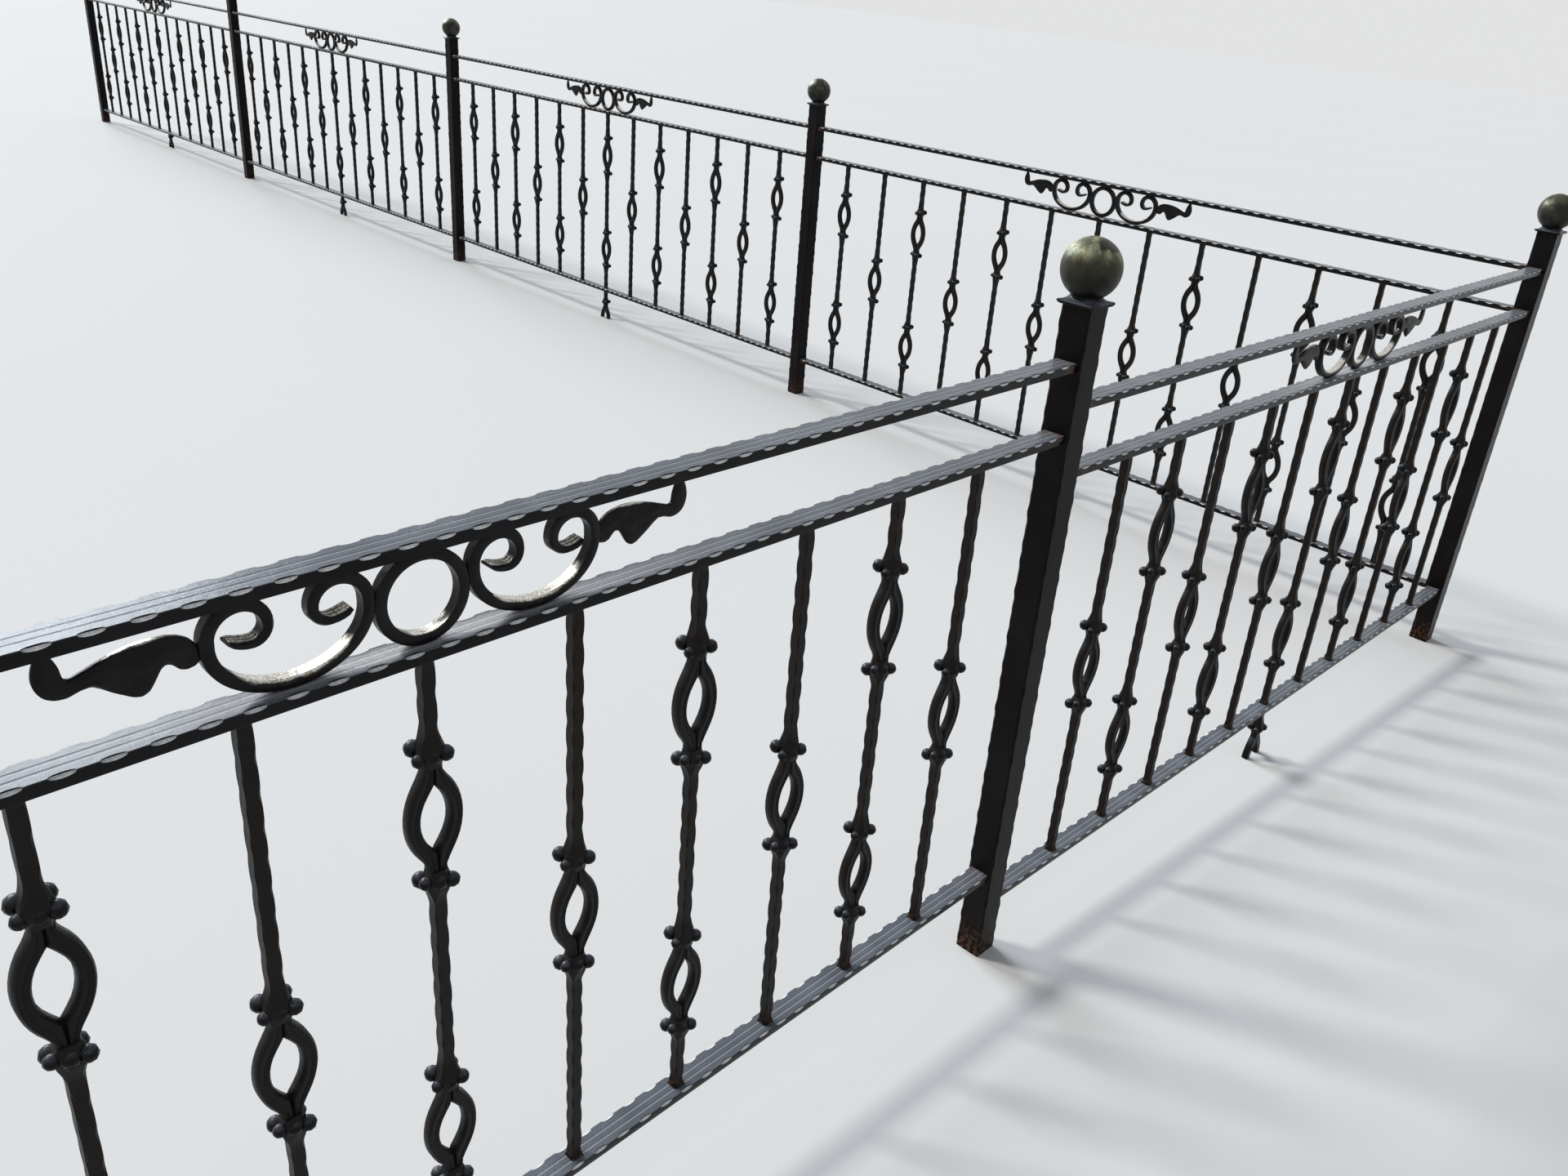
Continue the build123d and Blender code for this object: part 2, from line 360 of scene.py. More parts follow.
def square_rings(height, half, cut):
    """Rings of a square bar on the upright axis, two points to a corner.

    At each height a corner is taken off by its own cut: the first corner's points are
    (half, half - cut) and (half - cut, half), and the others are these turned by quarters.
    """
    pairs = []
    for quarter in range(4):
        short = half - cut[:, quarter]
        pair = np.stack([np.stack([half, short], -1), np.stack([short, half], -1)], axis=1)
        angle = quarter * math.pi / 2
        turn = np.array([[math.cos(angle), -math.sin(angle)], [math.sin(angle), math.cos(angle)]])
        pairs.append(pair @ turn.T)
    flat = np.concatenate(pairs, axis=1)
    level = np.repeat(height[:, None, None], flat.shape[1], axis=1)
    return np.concatenate([flat, level], axis=-1)


def hammered_bar(low, high, foot, head, collars):
    """A square bar whose corner cuts swell and shrink as a raised, squared cosine of the height.

    Neighbouring corners are half a wave apart, and the wave runs ahead and falls behind by
    a slower sine. The bar thickens and grows rounder as a soft bump at each collar, and
    thickens at the welds of its foot and head.
    """
    count = max(int((high - low) / bar_dent_pitch * bar_rings_per_dent), 4)
    height = np.linspace(low, high, count)
    corner = np.arange(4)
    wave = 2 * math.pi * height[:, None] / bar_dent_pitch + math.pi * corner
    wave = wave + bar_stray * np.sin(height[:, None] / bar_stray_height + bar_stray_lag * corner)
    cut = bar_cut_least + (bar_cut_most - bar_cut_least) * (0.5 + 0.5 * np.cos(wave)) ** 2
    half = np.full(count, bar_half)
    for collar_height in collars:
        swell = bump_round(height - collar_height, collar_reach)
        half, cut = half + collar_swell * swell, cut + collar_round * swell[:, None]
    weld = bump_round(height - foot, weld_reach) + bump_round(height - head, weld_reach)
    rusting = (bump_round(height - foot, foot_rust_reach)
               + head_rust * bump_round(height - head, head_rust_reach))
    rings = square_rings(height, half + weld_swell * weld, cut)
    marks = unmarked(rings)
    marks[..., worn_mark] = bar_wear
    marks[..., rust_mark] = rusting[:, None]
    return skin(rings, marks)


def bead(radius, rings, sides):
    """A ball: rings of latitude whose radius is the cosine of their angle, and two poles."""
    latitude = np.linspace(-math.pi / 2, math.pi / 2, rings + 2)[1:-1, None]
    turn = np.linspace(0, 2 * math.pi, sides, endpoint=False)[None]
    ball = np.stack([np.cos(latitude) * np.cos(turn), np.cos(latitude) * np.sin(turn),
                     np.sin(latitude) * np.ones_like(turn)], axis=-1) * radius
    return skin(ball, tips=((0, 0, -radius), (0, 0, radius)))


def post_ball(radius):
    """A ball of pressed sheet: its radius falls short by slow waves of its turn and latitude.

    The waves are cosines of whole multiples of the turn and of the latitude's sine, and
    they fade out toward the poles.
    """
    points, marks, quads, triangles = bead(radius, ball_rings, ball_sides)
    turn, sine = np.arctan2(points[:, 1], points[:, 0]), points[:, 2] / radius
    ripple = np.cos(3 * turn + 4 * sine) * np.cos(5 * sine - turn) + np.cos(2 * turn - 7 * sine + 1)
    fade = np.clip(1 - sine ** 2, 0, 1)
    share = 1 - ball_dent / radius * (0.5 + 0.25 * ripple) * fade
    return points * share[:, None], marks, quads, triangles


def bow(height, half_width, half_height):
    """How far a circular arc stands out at a height: nothing at its ends, half_width between."""
    radius = (half_width ** 2 + half_height ** 2) / (2 * half_width)
    inside = np.clip(radius ** 2 - height ** 2, 0, None)
    return np.clip(half_width - radius + np.sqrt(inside), 0, None)


def eye(lowest=-math.inf):
    """The open eye of a knot, or the part of it above a lowest height.

    Each side is a bar between two arcs: the outer one springs from the neck's side, the
    inner one is the hole's. Its section is a rounded oblong with a groove along the front
    and the back.
    """
    reach = eye_half_height + overlap
    height = np.linspace(max(lowest, -reach), reach, eye_rings)[:, None]
    outer = eye_neck + bow(height, eye_half_width - eye_neck, eye_arc_half_height)
    inner = bow(height, eye_hole_half_width, eye_hole_half_height)
    across = inner + (outer - inner) * eye_across
    depth = np.broadcast_to(eye_depth * eye_half_depth, across.shape)
    rings = np.stack([across, depth, np.broadcast_to(height, across.shape)], axis=-1)
    marks = unmarked(rings)
    marks[..., worn_mark] = np.where(eye_across == 1, eye_rim_wear, eye_wear)
    side = skin(rings, marks)
    return joined([side, mirrored(side)])


def collar(height, over):
    """Balls of uneven size about the bar, as they lie above an eye (1) or below it (-1)."""
    balls = []
    for turn, out, rise, radius in collar_balls:
        x, y = out * math.cos(math.radians(turn)), out * math.sin(math.radians(turn))
        ball = bead(radius, collar_ball_rings, collar_ball_sides)
        balls.append(moved(ball, x, y, height + over * rise))
    return joined(balls)


def baluster(knots, head):
    """A baluster from its foot at 0 to its head: bar, and an eye between two collars per knot."""
    collars = [(knot + side * collar_from_knot, side) for knot in knots for side in (-1, 1)]
    gaps = [knot + side * (eye_half_height - overlap) for knot in knots for side in (-1, 1)]
    ends = [0] + gaps + [head]
    swells = [height for height, side in collars]
    parts = [hammered_bar(low, high, 0, head, swells) for low, high in zip(ends[::2], ends[1::2])]
    parts += [moved(eye(), 0, 0, knot) for knot in knots]
    return joined(parts + [collar(height, side) for height, side in collars])


def leg(length):
    """The forked leg under a bottom rail, hanging from 0: bar, collar and the upper half of an eye.

    The foot that its bar is given lies far below, so that only its head is welded. It has
    the rail's paint, whose wear and highlight mark paints near-white highlights, so none of it
    carries that mark.
    """
    collar_height = -length + collar_from_knot
    lowest = -length + eye_half_height - overlap
    bar = hammered_bar(lowest, 0, -2 * length, 0, [collar_height])
    fork = moved(eye(0), 0, 0, -length)
    points, marks, quads, triangles = joined([bar, fork, collar(collar_height, 1)])
    return points, marks * (0, 1), quads, triangles


def rail(length, thickness, worn_patch):
    """A rail along x with its top at 0, with a painted glare over a patch about its middle.

    Its section runs from the front foot over both arrises and two grooves to the back
    foot. Along each arris a crescent is scooped out every dent pitch, as deep as half an
    ellipse of the distance from its middle: a short steep wall above, a sloping shelf below.
    The shelves and the front edge of each groove carry painted highlights.
    """
    count = int(length // dent_pitch)
    middles = (length - (count - 1) * dent_pitch) / 2 + dent_pitch * np.arange(count)
    dents = (middles[:, None] + dent_steps * dent_half_length).ravel()
    along = np.concatenate([[0], dents, [length]])
    dent = np.concatenate([[0], np.tile(np.sqrt(1 - dent_steps ** 2), count), [0]])
    flat = np.zeros_like(along)
    side = flat + rail_half
    edge = rail_half - arris - dent_across * dent
    wall_foot = edge + wall_lean * dent
    shelf_rim = -arris - dent_down * dent
    across = [side - rail_lip * rail_lip_lean, side, side, side, wall_foot, wall_foot, edge]
    level = [flat - thickness, flat - thickness + rail_lip, shelf_rim - shelf_rim_round * dent,
             shelf_rim, -dent_wall * dent, wall_foot_round * dent - dent_wall * dent, flat]
    groove_edge = groove_half + groove_guard
    groove = np.array([groove_edge, groove_half, 0, -groove_half, -groove_edge])
    for middle in (groove_offset, -groove_offset):
        across += [flat + middle + beside for beside in groove]
        level += [flat - groove_depth * (beside == 0) for beside in groove]
    across += [-front for front in across[6::-1]]
    level += level[6::-1]
    across, level = np.stack(across, -1), np.stack(level, -1)
    rings = np.stack([np.broadcast_to(along[:, None], across.shape), across, level], axis=-1)
    marks = unmarked(rings)
    # Painted highlights: the dents' shelves take the rail paint's near-white wear colour
    marks[:, shelf_points, worn_mark] = dent[:, None]
    # A painted highlight along the front edge of each groove
    marks[:, groove_points, worn_mark] = groove_highlight
    # A painted glare over the middle of the top, on the middle rail only
    if worn_patch:
        patch = glare_strength * bump_round(along - length / 2, worn_patch)
        marks[:, top_points, worn_mark] += patch[:, None]
    rusting = bump_round(along, rail_rust_reach) + bump_round(length - along, rail_rust_reach)
    marks[..., rust_mark] = rusting[:, None]
    return skin(rings, marks)


def arc(centre, radius, start, sweep, step=arc_step):
    """Points on a circular arc, from a start angle through a sweep in degrees, less the first."""
    count = max(int(math.radians(abs(sweep)) * radius / step), 4)
    angle = np.radians(np.linspace(start, start + sweep, count))
    x, z = centre[0] + radius * np.cos(angle), centre[1] + radius * np.sin(angle)
    return np.stack([x, z], -1)[1:]


def scroll_line(height):
    """The middle line of a scroll from one tongue's tip to the other, as x and z.

    From the bottom: a quarter of an ellipse, a short upright side, then arcs over the
    crest, down the curl, round the hook and along the tongue; the other half is its mirror.
    """
    half = scroll_width / 2 - scroll_bar / 2
    crest_level = height - scroll_bar / 2
    turn = np.linspace(0, math.pi / 2, belly_points)
    belly_level = scroll_belly_rise - (scroll_belly_rise - scroll_bar / 2) * np.cos(turn)
    belly = np.stack([half * np.sin(turn), belly_level], -1)
    crest_x = half - crest_radius
    curl_z = crest_level - curl_radius
    hook_x = crest_x - curl_radius + hook_radius
    crest = arc((crest_x, crest_level - crest_radius), crest_radius, 0, 90)
    curl = arc((crest_x, curl_z), curl_radius, 90, 90)
    hook = arc((hook_x, curl_z), hook_radius, 180, 90, hook_step)
    tongue_z = curl_z - hook_radius + tongue_radius
    tongue = arc((hook_x, tongue_z), tongue_radius, 270, tongue_angle)
    right = np.vstack([belly, crest, curl, hook, tongue])
    return np.vstack([(right * (-1, 1))[:0:-1], right])


def carried(line, width, depth, rib, closed=False):
    """A bar's rings along a line in the x, z plane, its inner side on the line's left.

    The section is a rounded oblong of a width in the plane and a depth across it. On its
    inner side three points stand out as ribs, as high as the rib value at each place.
    """
    run = np.roll(line, -1, 0) - np.roll(line, 1, 0) if closed else np.gradient(line, axis=0)
    run = run / np.linalg.norm(run, axis=1, keepdims=True)
    inward = np.stack([-run[:, 1], run[:, 0]], -1)
    inside = section_inward * width[:, None]
    inside[:, rib_points] += rib[:, None]
    flat = line[:, None, :] + inward[:, None, :] * inside[..., None]
    return np.stack([flat[..., 0], section_across * depth[:, None], flat[..., 1]], -1)


def scroll(height):
    """A scroll lying open to the top, as high as the gap that it fills.

    The bar is thick along the belly and crest and thins to its tongues, which are deeper
    and ribbed. Its inner side is brushed with gold round the bottom and on the tongues; on the
    tongues and their ribs the gold is partly a painted highlight.
    """
    line = scroll_line(height)
    run = np.concatenate([[0], np.cumsum(np.linalg.norm(np.diff(line, axis=0), axis=1))])
    from_tip = np.minimum(run, run[-1] - run)
    taper = np.clip((from_tip - taper_start) / taper_length, 0, 1) ** taper_power
    width = tongue_bar + (scroll_bar - tongue_bar) * taper
    width[[0, -1]] *= tip_width
    deepening = np.clip(1 - from_tip / deepening_length, 0, 1)
    depth = scroll_depth + (tongue_depth - scroll_depth) * deepening
    depth[[0, -1]] *= tip_depth
    tongue = np.clip(1 - from_tip / rib_length, 0, 1)
    rings = carried(line, width, depth, rib_height * np.sqrt(tongue))
    gilt = np.clip((scroll_gilt_level - line[:, 1]) / scroll_gilt_fade, 0, 1)[:, None]
    tongue_share = np.clip(tongue * tongue_highlight_gain, 0, 1)[:, None]
    marks = unmarked(rings)
    marks[:, inner_edges, worn_mark] = edge_gilt * gilt
    # The tongues' gold, in full on the ribs, is partly a painted highlight
    marks[:, inner_points, worn_mark] = np.maximum(gilt, tongue_gilt_and_highlight * tongue_share)
    marks[:, rib_points, worn_mark] = np.maximum(gilt, tongue_share)
    marks[..., rust_mark] = scroll_rust * bump_round(line[:, 1], scroll_rust_reach)[:, None]
    return skin(rings, marks)


def ring(height):
    """The ring between the scrolls: the same bar carried round a circle."""
    angle = np.linspace(0, 2 * math.pi, ring_points, endpoint=False)
    middle = height / 2
    radius = middle - scroll_bar / 2
    line = np.stack([radius * np.sin(angle), middle - radius * np.cos(angle)], -1)
    even = np.ones(len(line))
    rings = carried(line, scroll_bar * even, scroll_depth * even, 0 * even, closed=True)
    gilt = ring_gilt * np.clip((ring_gilt_level - line[:, 1]) / ring_gilt_fade, 0, 1)
    marks = unmarked(rings)
    marks[:, inner_points, worn_mark] = gilt[:, None]
    return hoop(rings, marks)


def along_edge(points, bend):
    """Where each point of a leaf's edge lies from root to tip.

    Up to the bend it goes by x and takes up the blade's share. The rest goes by the length
    of the edge and takes up the curl's share.
    """
    step = np.concatenate([[0], np.cumsum(np.linalg.norm(np.diff(points, axis=0), axis=1))])
    before = points[:, 0] <= bend
    turn = step[before][-1]
    blade = blade_share * points[:, 0] / points[before, 0][-1]
    return np.where(before, blade, blade_share + curl_share * (step - turn) / (step[-1] - turn))


def leaf():
    """A lobed leaf: between its upper and lower edge it swells as a half ellipse and carries veins.

    The belly is a sine from root to tip. The veins are a cosine across the leaf, strongest
    in its middle and gone at root and tip.
    """
    share = np.linspace(0, 1, leaf_rings)
    edges = []
    for points, bend in ((leaf_upper, leaf_upper_bend), (leaf_lower, leaf_lower_bend)):
        place = along_edge(points, bend)
        edge = np.stack([np.interp(share, place, points[:, axis]) for axis in (0, 1)], -1)
        for axis in (0, 1):
            edge[1:-1, axis] = np.convolve(edge[:, axis], leaf_smoothing, "valid")
        edges.append(edge)
    upper, lower = edges
    across = np.linspace(0, 1, leaf_points)
    flat = lower[:, None] + (upper - lower)[:, None] * across[None, :, None]
    belly = leaf_end + leaf_belly * np.sin(math.pi * np.clip(share * leaf_belly_pace, 0, 1))
    swell = np.sqrt(1 - (2 * across - 1) ** 2)[None] * belly[:, None]
    veined = np.sin(math.pi * np.clip(share / vein_length, 0, 1))
    veins = vein_height * np.cos(across * vein_waves * math.pi)[None] * veined[:, None]
    thick = leaf_depth / 2 * np.clip(leaf_rim + leaf_body * swell - veins, 0, 1)
    front = np.stack([flat[..., 0], -thick, flat[..., 1]], -1)
    back = np.stack([flat[..., 0], thick, flat[..., 1]], -1)
    rings = np.concatenate([front, back[:, ::-1]], axis=1)
    top = slice(leaf_points - 1, leaf_points + 1)
    marks = unmarked(rings)
    marks[:, top, worn_mark] = leaf_top_gilt * bump_round(share - leaf_top_gilt_middle,
                                                      leaf_top_gilt_reach)[:, None]
    return skin(rings, marks)


def ornament(height):
    """Leaf, scroll, ring, scroll and leaf about the middle of a bay, joined by blobs of weld."""
    scroll_middle = height / 2 + scroll_width / 2 - scroll_weld
    leaf_root = scroll_middle + scroll_width / 2 - scroll_weld
    blobs = copies(bead(blob_radius, blob_rings, blob_sides),
                   [(height / 2, -blob_offset, height / 2 + blob_offset),
                    (leaf_root + overlap, -blob_offset, leaf_weld_level)])
    half = joined([moved(scroll(height), scroll_middle, 0, 0), moved(leaf(), leaf_root, 0, 0),
                   blobs])
    return joined([half, ring(height), mirrored(half)])


def post_skin(height):
    """A square post whose corners are hammered: each cut is a sum of waves of the height."""
    level = np.linspace(0, height, post_rings)
    corner = np.arange(1, 5)
    waves = sum(np.cos(2 * math.pi * level[:, None] / pitch + lag * corner)
                for pitch, lag in post_waves)
    rings = square_rings(level, np.full(level.shape, post_half), post_cut + post_cut_wave * waves)
    marks = unmarked(rings)
    marks[..., worn_mark] = post_wear
    marks[..., rust_mark] = bump_round(level, post_rust_reach)[:, None]
    return skin(rings, marks)


def cap_skin(base):
    """The dished cap and neck: rings that pass from a square to a circle as they rise.

    A ring's point at a turn t lies at half times the signed power 2 / sharpness of the
    cosine and sine of t. The corners of the rim are drawn out and turn up a little.
    """
    turn = np.linspace(0, 2 * math.pi, cap_sides, endpoint=False) + math.pi / cap_sides
    cosine, sine = np.cos(turn)[None], np.sin(turn)[None]
    rise, share, sharpness, lift = (cap_profile[:, [column]] for column in range(4))
    corner = np.abs(np.sin(2 * turn)) ** 4
    across = cap_half * share * np.sign(cosine) * np.abs(cosine) ** (2 / sharpness)
    along = cap_half * share * np.sign(sine) * np.abs(sine) ** (2 / sharpness)
    level = base + rise + cap_corner_lift * lift * corner[None]
    rings = np.stack([across, along, level], -1)
    marks = unmarked(rings)
    marks[cap_rim_rings, :, worn_mark] = corner
    return skin(rings, marks)


def recipe(name, base, rough, shine, metal=0.0):
    """A material with a paint-like shader, whose fixed values sit on the shader's own sockets."""
    material = bpy.data.materials.new(name)
    material.use_nodes = True
    material["slot"] = name
    shader = material.node_tree.nodes["Principled BSDF"]
    shader.inputs["Base Color"].default_value = (*base, 1)
    shader.inputs["Roughness"].default_value = rough
    shader.inputs["Metallic"].default_value = metal
    shader.inputs["Specular IOR Level"].default_value = shine
    return material, shader


class Nodes:
    """Adds nodes to a material's tree and links what is passed to them."""

    def __init__(self, material):
        self.tree = material.node_tree
        self.place = self.add("ShaderNodeTexCoord").outputs["Object"]

    def add(self, kind, settings=None, **inputs):
        """A node of a kind, with its settings and what its inputs are fed."""
        node = self.tree.nodes.new(kind)
        for key, value in (settings or {}).items():
            setattr(node, key, value)
        for key, value in inputs.items():
            self.feed(node.inputs[key], value)
        return node

    def feed(self, socket, value):
        """Link a socket to another one, or give it a fixed value."""
        if isinstance(value, bpy.types.NodeSocket):
            self.tree.links.new(value, socket)
        else:
            socket.default_value = value

    def noise(self, scale, detail=4.0, stretch=None):
        """Cloudy noise of a scale per metre, drawn out by a stretch along x, y and z."""
        place = self.place
        if stretch:
            place = self.add("ShaderNodeMapping", Vector=place, Scale=stretch).outputs[0]
        noise = self.add("ShaderNodeTexNoise", Vector=place, Scale=scale, Detail=detail)
        return noise.outputs["Fac"]

    def cells(self, scale):
        """Distance to the nearest of scattered points, a scale of them per metre."""
        cells = self.add("ShaderNodeTexVoronoi", Vector=self.place, Scale=scale)
        return cells.outputs["Distance"]

    def between(self, value, low, high):
        """0 below a low value and 1 above a high one, smooth between."""
        node = self.add("ShaderNodeMapRange", {"interpolation_type": "SMOOTHSTEP"})
        self.feed(node.inputs[0], value)
        node.inputs[1].default_value, node.inputs[2].default_value = low, high
        return node.outputs[0]

    def scaled(self, value, low, high):
        """A value from 0 to 1 carried to a range."""
        node = self.add("ShaderNodeMapRange")
        self.feed(node.inputs[0], value)
        node.inputs[3].default_value, node.inputs[4].default_value = low, high
        return node.outputs[0]

    def maths(self, operation, first, second):
        """Two values joined by an operation."""
        node = self.add("ShaderNodeMath", {"operation": operation})
        self.feed(node.inputs[0], first)
        self.feed(node.inputs[1], second)
        return node.outputs[0]

    def times(self, first, second):
        """The product of two values."""
        return self.maths("MULTIPLY", first, second)

    def plus(self, first, second):
        """The sum of two values."""
        return self.maths("ADD", first, second)

    def blend(self, share, first, second):
        """One colour passing into another by a share."""
        node = self.add("ShaderNodeMix", {"data_type": "RGBA"})
        self.feed(node.inputs[0], share)
        self.feed(node.inputs[6], first)
        self.feed(node.inputs[7], second)
        return node.outputs[2]

    def mark(self, name):
        """A mark that the piece's points carry."""
        return self.add("ShaderNodeAttribute", {"attribute_name": name}).outputs["Fac"]

    def upward(self):
        """How far a face looks up: 1 upward, 0 upright, -1 downward."""
        normal = self.add("ShaderNodeNewGeometry").outputs["Normal"]
        return self.add("ShaderNodeSeparateXYZ", Vector=normal).outputs["Z"]

    def relief(self, shader, height, strength, distance):
        """Raise and sink the surface by a height, in metres of distance."""
        node = self.add("ShaderNodeBump", Height=height, Strength=strength, Distance=distance)
        self.tree.links.new(node.outputs[0], shader.inputs["Normal"])


# Colours of the black enamel, its dust and its rust, as red, green, blue and 1; the dust's
# film and grains on what faces up are also painted sky sheen and glints
enamel_base = (0.007, 0.007, 0.008)
enamel_deep = (0.003, 0.003, 0.0035, 1)
enamel_thin = (0.008, 0.008, 0.009, 1)
dust_and_sheen_film = (0.19, 0.21, 0.245, 1)
dust_and_glint_grain = (0.46, 0.48, 0.50, 1)
enamel_rust = (0.15, 0.070, 0.040, 1)


def black_paint(name, shine, gloss, worn_colour, dust_and_sheen_share, dimple, depth):
    """Black enamel on hammered steel.

    Its gloss is cloudy between two roughnesses and higher where the wear and highlight mark
    is near 0. It has dimples, so many per metre and so deep, and a fine orange peel. What faces
    up carries a pale film and bright grains, partly dust and partly painted sky sheen and
    glints, and the marks bring wear, painted highlights on the rails, and rust.
    """
    material, shader = recipe(name, enamel_base, 0.3, shine)
    nodes = Nodes(material)
    cloud = nodes.noise(scale=9.0, detail=5)
    grain = nodes.noise(scale=700.0, detail=3)
    facing_up = nodes.between(nodes.upward(), 0.35, 0.95)
    colour = nodes.blend(nodes.between(cloud, 0.35, 0.7), enamel_deep, enamel_thin)

    # What faces up gets a pale bluish film: dust, and painted sky sheen
    film = nodes.times(facing_up, nodes.scaled(nodes.noise(scale=22.0, detail=5), 0.4, 1.0))
    colour = nodes.blend(nodes.times(film, dust_and_sheen_share), colour, dust_and_sheen_film)
    # Bright grains in that film: dust, and painted glints
    speck = nodes.times(nodes.between(nodes.noise(scale=1000.0, detail=2), 0.56, 0.68),
                        nodes.between(nodes.noise(scale=13.0, detail=3), 0.42, 0.66))
    colour = nodes.blend(nodes.times(speck, film), colour, dust_and_glint_grain)

    flaking = nodes.between(nodes.noise(scale=150.0, detail=6), 0.44, 0.62)
    rusty = nodes.times(nodes.mark("rust"), flaking)
    colour = nodes.blend(nodes.times(rusty, 0.7), colour, enamel_rust)
    # The mark brings wear, and on the rails, whose wear colour is near-white, painted highlights
    wear_and_highlight_noise = nodes.scaled(nodes.noise(scale=500.0, detail=4), 0.3, 1.5)
    worn = nodes.times(nodes.mark("worn"), wear_and_highlight_noise)
    colour = nodes.blend(worn, colour, (*worn_colour, 1))

    unevenness = nodes.plus(nodes.times(cloud, 0.6), nodes.times(grain, 0.4))
    rough = nodes.plus(nodes.scaled(unevenness, *gloss), nodes.times(rusty, 0.3))
    dulled = nodes.scaled(nodes.between(nodes.mark("worn"), 0.05, 0.3), 0.6, 1.0)
    nodes.feed(shader.inputs["Base Color"], colour)
    nodes.feed(shader.inputs["Roughness"], nodes.times(rough, dulled))
    dimples = nodes.plus(nodes.noise(scale=dimple, detail=3), nodes.times(grain, 0.08))
    nodes.relief(shader, dimples, strength=0.6, distance=depth)
    return material


# Colours of the balls' rubbed gold, partly painted: shade underneath, highlight on top
gold_base = (0.3, 0.26, 0.13)
bronze_shadow = (0.010, 0.009, 0.007, 1)
bronze = (0.034, 0.033, 0.022, 1)
gold_rubbed = (0.125, 0.125, 0.076, 1)
gold_highlight = (0.42, 0.42, 0.27, 1)
bronze_green = (0.062, 0.080, 0.066, 1)
bronze_bare = (0.016, 0.017, 0.013, 1)
bronze_fleck = (0.022, 0.022, 0.017, 1)


def brushed_gold(name):
    """Antique gold rubbed over dark bronze.

    Gold lies above and dark bronze below, by how far a face looks up plus a streaky noise:
    partly the ball's own finish, partly painted shade underneath and painted highlight on top,
    with pale painted highlight streaks where it faces up.
    Greenish clouds, dark patches and fine dark flecks lie over it.
    """
    material, shader = recipe(name, gold_base, 0.38, 0.5, metal=0.75)
    nodes = Nodes(material)
    upward = nodes.upward()
    streak = nodes.noise(scale=34.0, detail=9, stretch=(1, 1, 0.4))
    patch = nodes.noise(scale=17.0, detail=6)
    fleck = nodes.noise(scale=420.0, detail=6)
    reach = nodes.plus(upward, nodes.scaled(streak, -0.9, 0.9))
    # Darker the more a face looks down, gold the more it looks up: partly painted shade and
    # highlight
    colour = nodes.blend(nodes.between(reach, -0.5, 0.15), bronze_shadow, bronze)
    colour = nodes.blend(nodes.between(reach, 0.15, 0.75), colour, gold_rubbed)
    # Pale gold streaks on what faces up: painted highlight
    bright = nodes.times(nodes.between(streak, 0.47, 0.58), nodes.between(upward, 0.25, 0.85))
    colour = nodes.blend(bright, colour, gold_highlight)

    green = nodes.times(nodes.between(nodes.noise(scale=11.0, detail=3), 0.48, 0.62), 0.7)
    colour = nodes.blend(green, colour, bronze_green)
    bare = nodes.times(nodes.between(patch, 0.515, 0.545), 0.85)
    colour = nodes.blend(bare, colour, bronze_bare)
    flecked = nodes.times(nodes.between(fleck, 0.50, 0.66), 0.5)
    colour = nodes.blend(flecked, colour, bronze_fleck)

    unevenness = nodes.plus(nodes.times(streak, 0.5), nodes.times(fleck, 0.5))
    nodes.feed(shader.inputs["Base Color"], colour)
    nodes.feed(shader.inputs["Roughness"], nodes.scaled(unevenness, 0.22, 0.66))
    dimples = nodes.plus(nodes.noise(scale=80.0, detail=6), nodes.times(fleck, 0.3))
    nodes.relief(shader, dimples, strength=0.6, distance=0.0012)
    return material


# Colours of the scrolls' paint, of the gold brushed over it and of its rust; the gold's
# near-white grains are painted glints
scroll_deep = (0.004, 0.004, 0.005, 1)
scroll_thin = (0.012, 0.011, 0.011, 1)
gilt_dull = (0.42, 0.38, 0.27, 1)
gilt_glint = (0.88, 0.87, 0.84, 1)
scroll_rust_colour = (0.095, 0.042, 0.022, 1)


def scroll_paint(name):
    """The scrolls' black paint, gold brushed on in streaks by the mark, with painted glints."""
    material, shader = recipe(name, enamel_base, 0.36, 0.12)
    nodes = Nodes(material)
    cloud = nodes.noise(scale=45.0, detail=6)
    streak = nodes.noise(scale=120.0, detail=8, stretch=(0.6, 2.2, 1))
    brushing = nodes.times(nodes.mark("worn"), nodes.scaled(streak, 0.25, 1.35))
    brushed = nodes.between(brushing, 0.30, 0.62)
    colour = nodes.blend(nodes.between(cloud, 0.3, 0.72), scroll_deep, scroll_thin)
    grain = nodes.between(nodes.noise(scale=620.0, detail=3), 0.40, 0.60)
    # Gold brushed in streaks, its near-white grains painted glints
    colour = nodes.blend(brushed, colour, nodes.blend(grain, gilt_dull, gilt_glint))
    flaking = nodes.between(nodes.noise(scale=240.0, detail=5), 0.42, 0.62)
    rusty = nodes.times(nodes.mark("rust"), flaking)
    colour = nodes.blend(rusty, colour, scroll_rust_colour)

    nodes.feed(shader.inputs["Base Color"], colour)
    nodes.feed(shader.inputs["Roughness"], nodes.scaled(cloud, 0.20, 0.48))
    nodes.feed(shader.inputs["Metallic"], nodes.times(brushed, 0.4))
    peel = nodes.times(nodes.noise(scale=800.0, detail=3), 0.3)
    nodes.relief(shader, nodes.plus(nodes.cells(150.0), peel), strength=0.35, distance=0.0007)
    return material


def node_box(node):
    """A node's lowest and highest corner in millimetres."""
    low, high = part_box(node)
    return np.array(low) * metre, np.array(high) * metre


def post_foot(name):
    """The middle of a post's foot."""
    low, high = node_box(f"{name}_post")
    return np.array([(low[0] + high[0]) / 2, (low[1] + high[1]) / 2, low[2]])


